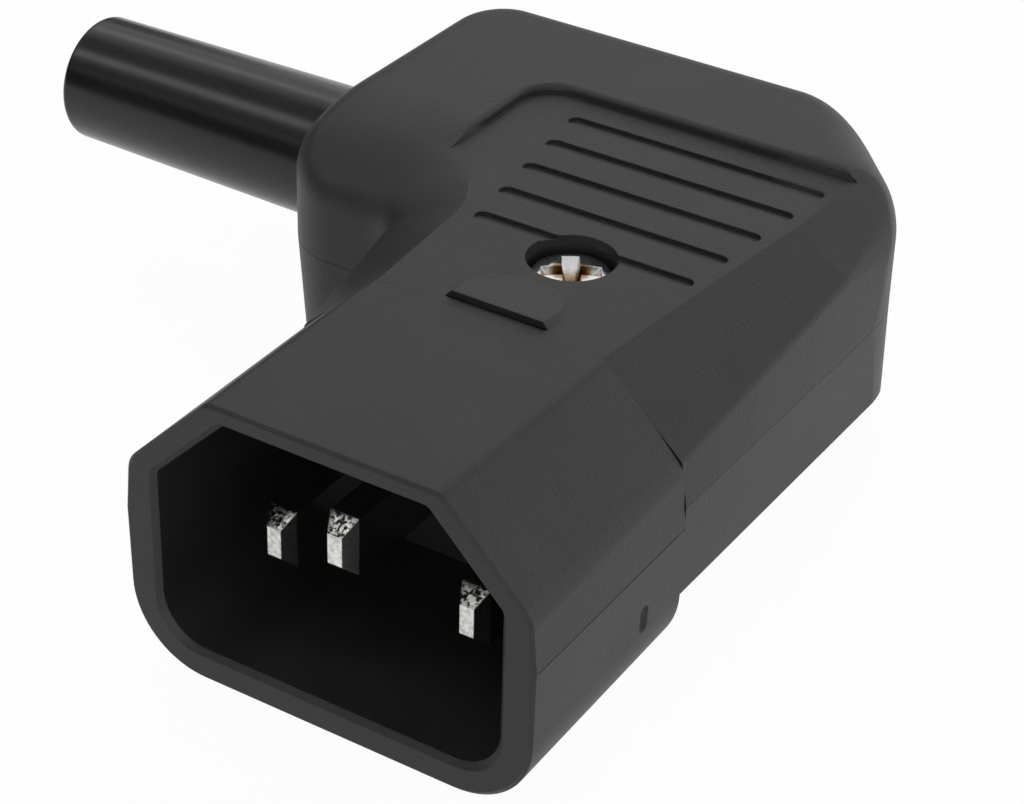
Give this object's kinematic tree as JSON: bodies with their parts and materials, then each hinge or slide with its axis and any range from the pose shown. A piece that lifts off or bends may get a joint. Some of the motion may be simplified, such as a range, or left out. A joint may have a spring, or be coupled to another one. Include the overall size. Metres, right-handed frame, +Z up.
{
  "type": "angled power plug",
  "caption": "Angled mains plug: flat pins in a chamfered shroud and a two-shell housing whose neck turns the cord sideways through a bend sleeve.",
  "frame": {"origin": "middle of the shroud's opening, in the plane of its rim", "axes": "-Y is the way the plug mates, +Z is up towards the earth pin, -X is the way the cord leaves"},
  "size_m": [0.0662, 0.0562, 0.0211],
  "materials": {
    "housing": "black nylon with a fine spark-eroded grain",
    "sleeve": "smooth black soft PVC, satin",
    "pins": "nickel-plated brass with a satin drawn finish",
    "brass": "plain turned and milled brass",
    "screws": "zinc-plated steel",
    "clamp": "black nylon"
  },
  "bodies": {
    "root": {"front_block": "housing", "upper_cover": "housing", "lower_cover": "housing", "bend_sleeve": "sleeve", "line_pin": "pins", "neutral_pin": "pins", "earth_pin": "pins", "line_terminal": "brass", "neutral_terminal": "brass", "earth_terminal": "brass", "line_terminal_screw": "screws", "neutral_terminal_screw": "screws", "earth_terminal_screw": "screws", "cover_screw": "screws", "cable_clamp": "clamp", "clamp_screw_front": "screws", "clamp_screw_rear": "screws"}
  },
  "joints": []
}
